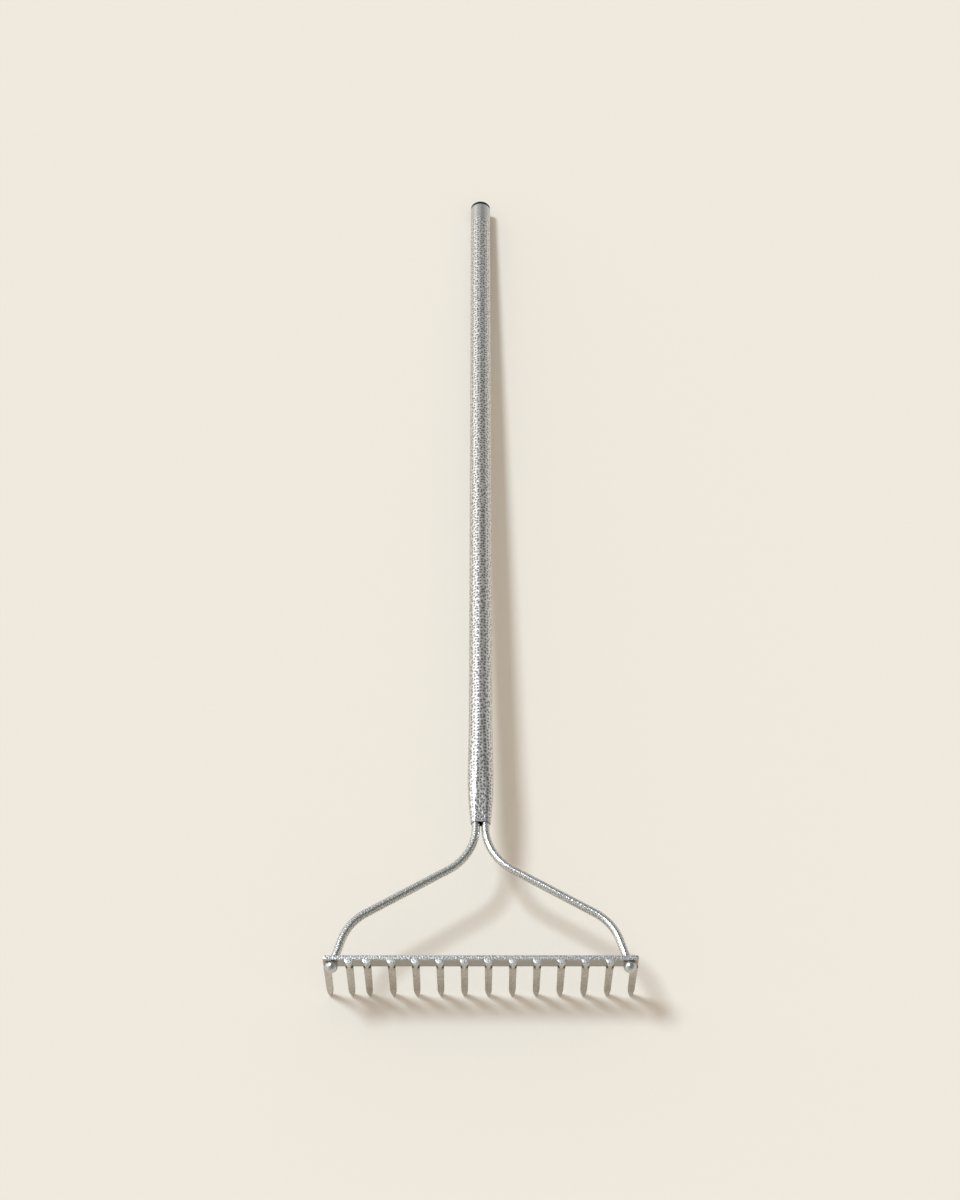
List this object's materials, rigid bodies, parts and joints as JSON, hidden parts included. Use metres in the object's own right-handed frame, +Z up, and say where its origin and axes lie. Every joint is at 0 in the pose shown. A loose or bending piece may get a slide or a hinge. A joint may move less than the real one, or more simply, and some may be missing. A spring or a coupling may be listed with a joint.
{
  "type": "bow rake",
  "caption": "Bow rake with a long tubular handle crimped over bent rods that carry a flat bar with a row of short blunt tines.",
  "frame": {"origin": "middle of the outline seen from above, at the floor that the tine tips and the far end of the handle rest on", "axes": "+X to the right along the bar, +Y from the tines to the far end of the handle, +Z up"},
  "size_m": [0.386, 1.371, 0.0983],
  "materials": {
    "hammered_steel": "bright steel with small hammered dimples all over",
    "tine_steel": "duller forged steel with a fine mottle",
    "black_plastic": "matt black moulded plastic"
  },
  "bodies": {
    "root": {"handle_tube": "hammered_steel", "end_plug": "black_plastic", "bow_rod_left": "hammered_steel", "bow_rod_right": "hammered_steel", "head_bar": "hammered_steel", "tine_01": "tine_steel", "tine_02": "tine_steel", "tine_03": "tine_steel", "tine_04": "tine_steel", "tine_05": "tine_steel", "tine_06": "tine_steel", "tine_07": "tine_steel", "tine_08": "tine_steel", "tine_09": "tine_steel", "tine_10": "tine_steel", "tine_11": "tine_steel", "tine_12": "tine_steel", "tine_13": "tine_steel", "tine_14": "tine_steel"}
  },
  "joints": []
}
